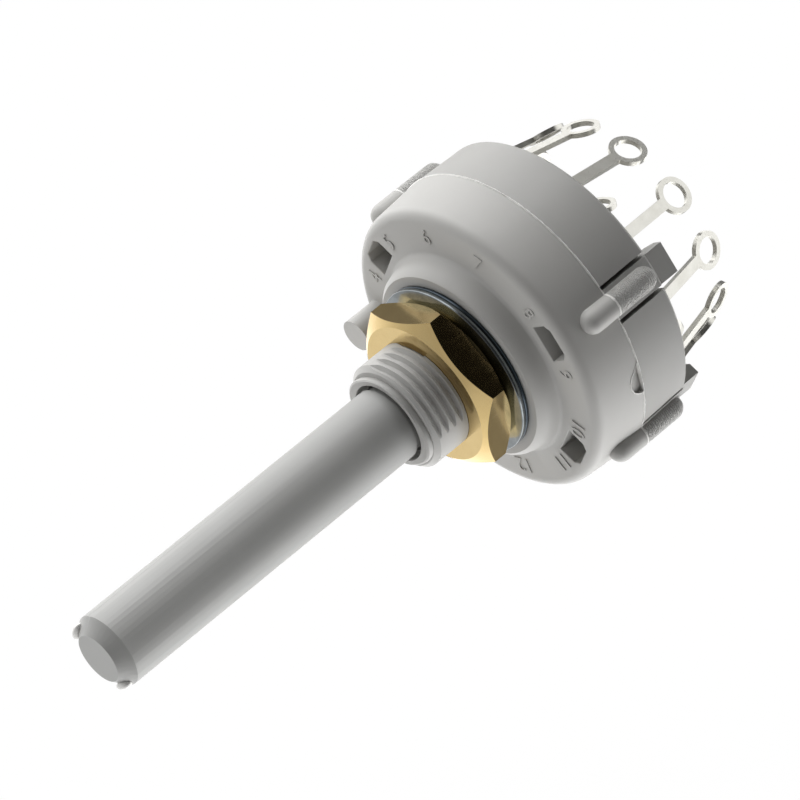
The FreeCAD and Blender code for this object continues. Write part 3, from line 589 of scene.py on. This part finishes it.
def grey_nylon(name, tone, light_tone, roughness):
    """Moulded nylon between two tones, with a fine grain."""
    material, tree = new_material(name)
    place = add(tree, "TexCoord").outputs["Object"]
    clouds = add(tree, "TexNoise",
                 values={"Scale": 1 / CLOUD_SIZE, "Detail": 3, "Roughness": 0.6},
                 links={"Vector": place})
    tint = add(tree, "Mix", {"data_type": "RGBA"}, {"A": colour(tone), "B": colour(light_tone)},
               {"Factor": clouds.outputs["Fac"]})
    grain = add(tree, "TexNoise",
                values={"Scale": 1 / GRAIN_SIZE, "Detail": 2, "Roughness": 0.7},
                links={"Vector": place})
    bump = add(tree, "Bump", values={"Strength": 0.25, "Distance": GRAIN_DEPTH},
               links={"Height": grain.outputs["Fac"]})
    shader = add(tree, "BsdfPrincipled", values={"Roughness": roughness, "IOR": NYLON_IOR},
                 links={"Base Color": tint.outputs["Result"], "Normal": bump.outputs["Normal"]})
    add(tree, "OutputMaterial", links={"Surface": shader.outputs["BSDF"]})
    return material


# The housing's nylon is matt and a warm mid grey.
housing_nylon = grey_nylon("housing_nylon", "#AFAEAB", "#B7B6B3", 0.48)
# The shaft's is darker and a little glossier, from a mould that is polished along the shaft.
shaft_nylon = grey_nylon("shaft_nylon", "#9F9F9D", "#A7A7A5", 0.42)
# The stator's is a little browner and quite matt.
stator_nylon = grey_nylon("stator_nylon", "#A3A19D", "#ABA9A5", 0.5)
# Flash is so thin that light comes through it, so it is paler.
pale_flash = grey_nylon("pale_flash", "#DDDCD9", "#E8E7E4", 0.5)
NYLON_PIECES = [(housing, housing_nylon), (dial_numbers, housing_nylon), (gate_flash, pale_flash),
                (tip_ears, pale_flash), (shaft, shaft_nylon), (nodes["stator"], stator_nylon)]
for piece, nylon in NYLON_PIECES:
    dress(piece, nylon)
print("nylon on", [piece.name for piece, nylon in NYLON_PIECES])

# %% [markdown]
# Flash on the parting line.
# Where the halves of the housing's mould meet, a thin flash stands round the wall and is paler
# than it. It is a few hundredths of a millimetre high, too low to model, so it is placed in the
# material, by the distance behind the parting line and from the axis. A noise makes its edge
# ragged.

# %% Mark the parting line
FLASH_HALF_WIDTH = 0.07 * MM
FLASH_EDGE = 1.4 * FLASH_HALF_WIDTH
RAGGED_SIZE = 0.7 * MM
RAGGED_WIDTH = 0.04 * MM
WALL_INNER_RADIUS = 12.9 * MM
WALL_OUTER_RADIUS = 13.0 * MM


def wall_place(tree):
    """The place of a point, its distance from the axis and how far it is behind the seam."""
    place = add(tree, "TexCoord").outputs["Object"]
    parts = add(tree, "SeparateXYZ", links={"Vector": place}).outputs
    flat = add(tree, "CombineXYZ", links={"X": parts["X"], "Z": parts["Z"]}).outputs["Vector"]
    radius = add(tree, "VectorMath", {"operation": "LENGTH"}, links={0: flat}).outputs["Value"]
    behind_seam = add(tree, "Math", {"operation": "SUBTRACT"}, {1: SEAM_Y}, {0: parts["Y"]})
    return place, radius, behind_seam.outputs["Value"]


def flash_share(tree, place, radius, behind_seam):
    """1 on the flash, 0 beside it."""
    distance = add(tree, "Math", {"operation": "ABSOLUTE"}, links={0: behind_seam})
    wander = add(tree, "TexNoise",
                 values={"Scale": 1 / RAGGED_SIZE, "Detail": 3, "Roughness": 0.7},
                 links={"Vector": place})
    ragged = add(tree, "MapRange",
                 values={"From Min": 0.3, "From Max": 0.7, "To Min": -RAGGED_WIDTH,
                         "To Max": RAGGED_WIDTH},
                 links={"Value": wander.outputs["Fac"]})
    uneven = add(tree, "Math", {"operation": "ADD"},
                 links={0: distance.outputs["Value"], 1: ragged.outputs["Result"]})
    near = add(tree, "MapRange", {"interpolation_type": "SMOOTHSTEP"},
               {"From Min": FLASH_HALF_WIDTH, "From Max": FLASH_EDGE, "To Min": 1.0,
                "To Max": 0.0},
               {"Value": uneven.outputs["Value"]})
    on_wall = add(tree, "MapRange",
                  values={"From Min": WALL_INNER_RADIUS, "From Max": WALL_OUTER_RADIUS},
                  links={"Value": radius})
    flash = add(tree, "Math", {"operation": "MULTIPLY"},
                links={0: near.outputs["Result"], 1: on_wall.outputs["Result"]})
    return flash.outputs["Value"]


marks = housing_nylon.node_tree
place, radius, behind_seam = wall_place(marks)
flash = flash_share(marks, place, radius, behind_seam)
print("flash", round(2 * FLASH_HALF_WIDTH / MM, 2), "mm wide at", round(SEAM_Y / MM, 2), "mm")

# %% [markdown]
# Painted shade on the wall.
# Behind the parting line the wall's colour is made a shade darker. This is painted shade for the
# darker rear of the wall, not a different tone of the nylon.
# The clips' bumps stand further out and keep the lighter tone, so the painted shade ends at a
# radius.

# %% Paint shade on the rear of the wall
# Painted shade: the rear wall's colour is multiplied by this share of the front's tone.
REAR_PAINTED_SHADE = 0.86
PAINTED_SHADE_FADE = 0.05 * MM
BUMP_FOOT_RADIUS = 13.36 * MM
BUMP_SIDE_RADIUS = 13.42 * MM
FLASH_TONE = "#EAE9E6"


def wall_tint(tree, tint, flash, radius, behind_seam):
    """The nylon's tint, with painted shade on the rear wall and pale on the flash."""
    rear = add(tree, "MapRange", values={"From Min": 0.0, "From Max": PAINTED_SHADE_FADE},
               links={"Value": behind_seam})
    below_bump = add(tree, "MapRange",
                     values={"From Min": BUMP_FOOT_RADIUS, "From Max": BUMP_SIDE_RADIUS,
                             "To Min": 1.0, "To Max": 0.0},
                     links={"Value": radius})
    painted_shade_share = add(tree, "Math", {"operation": "MULTIPLY"},
                    links={0: rear.outputs["Result"], 1: below_bump.outputs["Result"]})
    # The painted shade: the tint is multiplied darker behind the seam.
    darker = add(tree, "Mix", {"data_type": "RGBA", "blend_type": "MULTIPLY"},
                 {"B": (REAR_PAINTED_SHADE, REAR_PAINTED_SHADE, REAR_PAINTED_SHADE, 1)},
                 {"Factor": painted_shade_share.outputs["Value"], "A": tint})
    pale = add(tree, "Mix", {"data_type": "RGBA"}, {"B": colour(FLASH_TONE)},
               {"Factor": flash, "A": darker.outputs["Result"]})
    return pale.outputs["Result"]


shader = next(node for node in marks.nodes if node.type == "BSDF_PRINCIPLED")
plain_tint = shader.inputs["Base Color"].links[0].from_socket
# The rear wall gets painted shade in its colour, and the flash gets its pale tone.
tinted = wall_tint(marks, plain_tint, flash, radius, behind_seam)
marks.links.new(tinted, shader.inputs["Base Color"])
print("rear wall at", REAR_PAINTED_SHADE, "of the front's tone")

# %% [markdown]
# Ribs of the clips' bumps.
# The bumps carry fine cross ribs, a fifth of a millimetre apart, which are rough from the mould.
# Cut ribs would need thousands of faces on each bump, so a wave along the axis with some
# distortion gives their height to the shader, and the height of the flash is added to it.

# %% Rib the bumps
RIB_STEP = 0.2 * MM
# A wave texture has 20 radians to one unit of its scale.
RIB_SCALE = 2 * math.pi / 20 / RIB_STEP
RIB_RADIUS = BODY_RADIUS + 0.12 * MM
RIB_FADE = 0.1 * MM
MARK_HEIGHT = 0.07 * MM


def mark_height(tree, place, flash, radius, behind_seam):
    """The height of the ribs and the flash, as a share of the highest mark."""
    ribs = add(tree, "TexWave", {"bands_direction": "Y"},
               {"Scale": RIB_SCALE, "Distortion": 6.0, "Detail": 4.0, "Detail Scale": 2.2},
               {"Vector": place})
    on_bump = add(tree, "MapRange",
                  values={"From Min": RIB_RADIUS, "From Max": RIB_RADIUS + RIB_FADE},
                  links={"Value": radius})
    behind = add(tree, "MapRange", values={"From Min": RIB_FADE, "From Max": 2 * RIB_FADE},
                 links={"Value": behind_seam})
    marked = add(tree, "Math", {"operation": "MULTIPLY"},
                 links={0: on_bump.outputs["Result"], 1: behind.outputs["Result"]})
    ribbed = add(tree, "Math", {"operation": "MULTIPLY"},
                 links={0: ribs.outputs["Fac"], 1: marked.outputs["Value"]})
    raised = add(tree, "Math", {"operation": "ADD"}, links={0: ribbed.outputs["Value"], 1: flash})
    return raised.outputs["Value"]


grain = shader.inputs["Normal"].links[0].from_socket
raised = mark_height(marks, place, flash, radius, behind_seam)
relief = add(marks, "Bump", values={"Strength": 1.0, "Distance": MARK_HEIGHT},
             links={"Height": raised, "Normal": grain})
marks.links.new(relief.outputs["Normal"], shader.inputs["Normal"])
print("ribs", round(RIB_STEP / MM, 2), "mm apart beyond", round(RIB_RADIUS / MM, 2), "mm")

# %% [markdown]
# Metals.
# The nut is turned brass, the washers are zinc plated steel and the lugs are tinned brass. A
# metal's colour is the colour of its reflection, so each one needs only a tint, a roughness and
# the marks that its making left. A noise that is stretched along the tool's path draws those
# marks.

# %% Make and dress the metals
PATCH_SIZE = 1.5 * MM


def metal(name, tone, dark_tone, roughness, mark_width, mark_depth, stretch=(1, 1, 1)):
    """A metal between two tones, with marks of this width and depth."""
    material, tree = new_material(name)
    place = add(tree, "TexCoord").outputs["Object"]
    stretched = add(tree, "Mapping", values={"Scale": stretch}, links={"Vector": place})
    patches = add(tree, "TexNoise",
                  values={"Scale": 1 / PATCH_SIZE, "Detail": 4, "Roughness": 0.65},
                  links={"Vector": place})
    tint = add(tree, "Mix", {"data_type": "RGBA"}, {"A": colour(dark_tone), "B": colour(tone)},
               {"Factor": patches.outputs["Fac"]})
    marks = add(tree, "TexNoise",
                values={"Scale": 1 / mark_width, "Detail": 3, "Roughness": 0.6},
                links={"Vector": stretched.outputs["Vector"]})
    dull = add(tree, "MapRange", values={"To Min": roughness * 0.7, "To Max": roughness * 1.4},
               links={"Value": marks.outputs["Fac"]})
    bump = add(tree, "Bump", values={"Strength": 0.4, "Distance": mark_depth},
               links={"Height": marks.outputs["Fac"]})
    shader = add(tree, "BsdfPrincipled", values={"Metallic": 1.0},
                 links={"Base Color": tint.outputs["Result"], "Normal": bump.outputs["Normal"],
                        "Roughness": dull.outputs["Result"]})
    add(tree, "OutputMaterial", links={"Surface": shader.outputs["BSDF"]})
    return material


# Turned brass is a pale yellow and nearly mirrors, with faint marks across the axis.
turned_brass = metal("turned_brass", "#EFD499", "#E4C688", 0.13, 0.3 * MM, 0.002 * MM, (1, 0.2, 1))
# Bright zinc is a cloudy cool grey. The blue passivated one is much darker.
bright_zinc = metal("bright_zinc", "#A9AEB0", "#5C6265", 0.18, 0.2 * MM, 0.004 * MM)
blue_zinc = metal("blue_zinc", "#5C666E", "#383F46", 0.16, 0.2 * MM, 0.004 * MM)
# Dipped tin is almost white and uneven, so its reflections are soft.
tinned = metal("tinned_brass", "#E9E8E2", "#C9C7BE", 0.3, 0.15 * MM, 0.008 * MM)
# Inside the housing: polished balls, dull drawn wire and a silver plated bridge.
bearing_steel = metal("bearing_steel", "#D0D1D4", "#B8B9BD", 0.1, 0.3 * MM, 0.001 * MM)
drawn_wire = metal("drawn_spring_wire", "#A5A6A8", "#84858A", 0.3, 0.1 * MM, 0.003 * MM)
silvered = metal("silvered_contact", "#E6E3DC", "#CFCBC0", 0.25, 0.2 * MM, 0.004 * MM)
dress(nodes["hex_nut"], turned_brass)
dress(plain_washer, bright_zinc)
dress(stop_washer, blue_zinc)
dress(nodes["moving_contact"], silvered)
lugs = [name for name in nodes if name.startswith("terminal_") or name == "common_terminal"]
balls = [name for name in nodes if name.startswith("detent_ball")]
springs = [name for name in nodes if name.endswith("spring")]
for names, finish in ((lugs, tinned), (balls, bearing_steel), (springs, drawn_wire)):
    for name in names:
        dress(nodes[name], finish)
print("metals on", len(lugs), "lugs,", len(balls), "balls,", len(springs), "springs and 4 more")

# %% [markdown]
# Camera.
# The view comes from the circles round the axis, whose ellipses give the direction, and from
# their size, which gives the distance. The camera looks from the upper left front, with no tilt.

# %% Set the camera
CAMERA_AZIMUTH = math.radians(44.148)
CAMERA_HEIGHT = math.radians(51.869)
CAMERA_DISTANCE = 444.9 * MM
AIM_RIGHT = 4.599 * MM
AIM_UP = 2.6605 * MM
CAMERA_LENS = 257.3
CAMERA_SENSOR = 36

toward = Vector((math.sin(CAMERA_AZIMUTH) * math.cos(CAMERA_HEIGHT),
                 -math.cos(CAMERA_AZIMUTH) * math.cos(CAMERA_HEIGHT), math.sin(CAMERA_HEIGHT)))
right = Vector((math.cos(CAMERA_AZIMUTH), math.sin(CAMERA_AZIMUTH), 0))
above = toward.cross(right)
view = Matrix((right, above, toward)).transposed().to_4x4()
view.translation = toward * CAMERA_DISTANCE - right * AIM_RIGHT - above * AIM_UP
camera = bpy.data.objects.new("camera", bpy.data.cameras.new("camera"))
bpy.context.scene.collection.objects.link(camera)
camera.data.lens = CAMERA_LENS
camera.data.sensor_width = CAMERA_SENSOR
camera.data.clip_start = 0.01
camera.matrix_world = view
bpy.context.scene.camera = camera
bpy.context.scene.view_settings.view_transform = "Standard"
print("camera at", [round(part / MM, 1) for part in view.translation])

# %% [markdown]
# Light tent.
# The switch hangs in a white light tent: light comes from all sides but the camera's, so edges
# that turn away are bright and faces towards the camera are darker. A ring of large lamps could
# do that too, but the world does it with one smooth ramp round a fixed direction. It is brighter
# towards the rear than the front.

# %% Light the tent
TENT_BRIGHT = 3.35
TENT_DARK = 0.09
TENT_MIDDLE = Vector((0.805, -0.154, 0.943)).normalized()
TENT_LEAN = Vector((0.22, 0.78, 0.14))
RAMP_START = math.cos(math.radians(80))
RAMP_END = math.cos(math.radians(60.6))

world = bpy.data.worlds.new("light_tent")
bpy.context.scene.world = world
world.use_nodes = True
tree = world.node_tree
tree.nodes.clear()
direction = add(tree, "TexCoord").outputs["Generated"]
facing = add(tree, "VectorMath", {"operation": "DOT_PRODUCT"}, {1: TENT_MIDDLE}, {0: direction})
ramp = add(tree, "MapRange", {"interpolation_type": "SMOOTHSTEP"},
           {"From Min": RAMP_START, "From Max": RAMP_END, "To Min": TENT_BRIGHT,
            "To Max": TENT_DARK},
           {"Value": facing.outputs["Value"]})
side = add(tree, "VectorMath", {"operation": "DOT_PRODUCT"}, {1: TENT_LEAN}, {0: direction})
share = add(tree, "Math", {"operation": "ADD"}, {1: 1.0}, {0: side.outputs["Value"]})
leaning = add(tree, "Math", {"operation": "MULTIPLY"},
              links={0: ramp.outputs["Result"], 1: share.outputs["Value"]})
print("tent from", TENT_DARK, "to", TENT_BRIGHT)

# %% [markdown]
# What the metals mirror.
# Polished faces show a grey band behind the panel, which is why the nut's flats are dark. They
# also show a card at the rear that is white on the right and grey on the left, as the lugs do.
# Both are for glossy rays alone, and both are soft steps of the direction's parts.

# %% Hang the band and the rear card
BAND_MIDDLE = 0.46
BAND_INNER = 0.08
BAND_OUTER = 0.2
BAND_DARK = 0.04
BAND_BESIDE = 0.56
REAR_FROM = 0.62
REAR_TO = 0.70
CARD_LEFT = -0.3
CARD_RIGHT = 0.05
CARD_GREY = 0.2
CARD_WHITE = 1.3

ray = add(tree, "LightPath")
parts = add(tree, "SeparateXYZ", links={"Vector": direction})
off_band = add(tree, "Math", {"operation": "SUBTRACT"}, {1: BAND_MIDDLE}, {0: parts.outputs["Y"]})
beside = add(tree, "Math", {"operation": "ABSOLUTE"}, links={0: off_band.outputs["Value"]})
band = add(tree, "MapRange", {"interpolation_type": "SMOOTHSTEP"},
           {"From Min": BAND_INNER, "From Max": BAND_OUTER, "To Min": BAND_DARK,
            "To Max": BAND_BESIDE},
           {"Value": beside.outputs["Value"]})
mirrored = add(tree, "Mix", {"data_type": "FLOAT"}, {"A": 1.0},
               {"Factor": ray.outputs["Is Glossy Ray"], "B": band.outputs["Result"]})
strength = add(tree, "Math", {"operation": "MULTIPLY"},
               links={0: leaning.outputs["Value"], 1: mirrored.outputs["Result"]})
card = add(tree, "MapRange", {"interpolation_type": "SMOOTHSTEP"},
           {"From Min": CARD_LEFT, "From Max": CARD_RIGHT, "To Min": CARD_GREY,
            "To Max": CARD_WHITE},
           {"Value": parts.outputs["X"]})
at_rear = add(tree, "MapRange", {"interpolation_type": "SMOOTHSTEP"},
              {"From Min": REAR_FROM, "From Max": REAR_TO}, {"Value": parts.outputs["Y"]})
rear_share = add(tree, "Math", {"operation": "MULTIPLY"},
                 links={0: at_rear.outputs["Result"], 1: ray.outputs["Is Glossy Ray"]})
total = add(tree, "Mix", {"data_type": "FLOAT"},
            links={"Factor": rear_share.outputs["Value"], "A": strength.outputs["Value"],
                   "B": card.outputs["Result"]})
print("world with", len(tree.nodes), "nodes")

# %% [markdown]
# White behind the switch.
# The camera sees plain white, whatever the light is. That comes from the rays of the camera
# alone, so no extra light falls on the switch.

# %% Show the camera plain white
light = add(tree, "Background", values={"Color": (1, 1, 1, 1)},
            links={"Strength": total.outputs["Result"]})
white = add(tree, "Background", values={"Color": (1, 1, 1, 1), "Strength": 1.0})
seen = add(tree, "MixShader", links={0: ray.outputs["Is Camera Ray"],
                                     1: light.outputs["Background"],
                                     2: white.outputs["Background"]})
add(tree, "OutputWorld", links={"Surface": seen.outputs["Shader"]})
print("background", white.inputs["Strength"].default_value)

# %% [markdown]
# Floor.
# It is pale and far enough below to take only a faint shadow. The tent's light passes it, and the
# nut doesn't mirror it.

# %% Lay the floor
FLOOR_DROP = 60 * MM
FLOOR_SIZE = 1.6
FLOOR_GLOW_SHARE = 0.94

bpy.ops.object.select_all(action="DESELECT")
floor_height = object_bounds()[0][2] - FLOOR_DROP
bpy.ops.mesh.primitive_plane_add(size=FLOOR_SIZE, location=(0, 0, floor_height))
floor = bpy.context.object
floor.name = "floor"
place_in_mesh(floor)
pale_floor, tree = new_material("pale_floor")
paint = add(tree, "BsdfDiffuse", values={"Color": colour("#F4F4F3")})
glow = add(tree, "Emission", values={"Color": (1, 1, 1, 1), "Strength": 1.0})
ray = add(tree, "LightPath")
glowing = add(tree, "Math", {"operation": "MULTIPLY"}, {1: FLOOR_GLOW_SHARE},
              {0: ray.outputs["Is Camera Ray"]})
mixed = add(tree, "MixShader", links={0: glowing.outputs["Value"], 1: paint.outputs["BSDF"],
                                      2: glow.outputs["Emission"]})
add(tree, "OutputMaterial", links={"Surface": mixed.outputs["Shader"]})
dress(floor, pale_floor)
floor.visible_diffuse = False
floor.visible_glossy = False
floor.visible_shadow = False
print("floor at", round(floor.data.vertices[0].co.z / MM, 1), "mm")

# %% [markdown]
# Black card.
# It hangs behind the switch, out of sight of the camera, as in a photographer's tent. It keeps
# the tent's bright rear off the lugs' side of the housing, so that side isn't burnt out when it
# is looked at.

# %% Hang the black card
CARD_RADIUS = 42 * MM
CARD_BACK = 45 * MM

bpy.ops.object.select_all(action="DESELECT")
bpy.ops.mesh.primitive_circle_add(vertices=48, radius=CARD_RADIUS, fill_type="NGON",
                                  location=(0, CARD_BACK, 0), rotation=(math.radians(90), 0, 0))
rear_card = bpy.context.object
rear_card.name = "rear_card"
place_in_mesh(rear_card)
black_card, tree = new_material("black_card")
paint = add(tree, "BsdfDiffuse", values={"Color": colour("#101010")})
add(tree, "OutputMaterial", links={"Surface": paint.outputs["BSDF"]})
dress(rear_card, black_card)
rear_card.visible_camera = False
rear_card.visible_glossy = False
print("card at", round(rear_card.data.vertices[0].co.y / MM, 1), "mm")
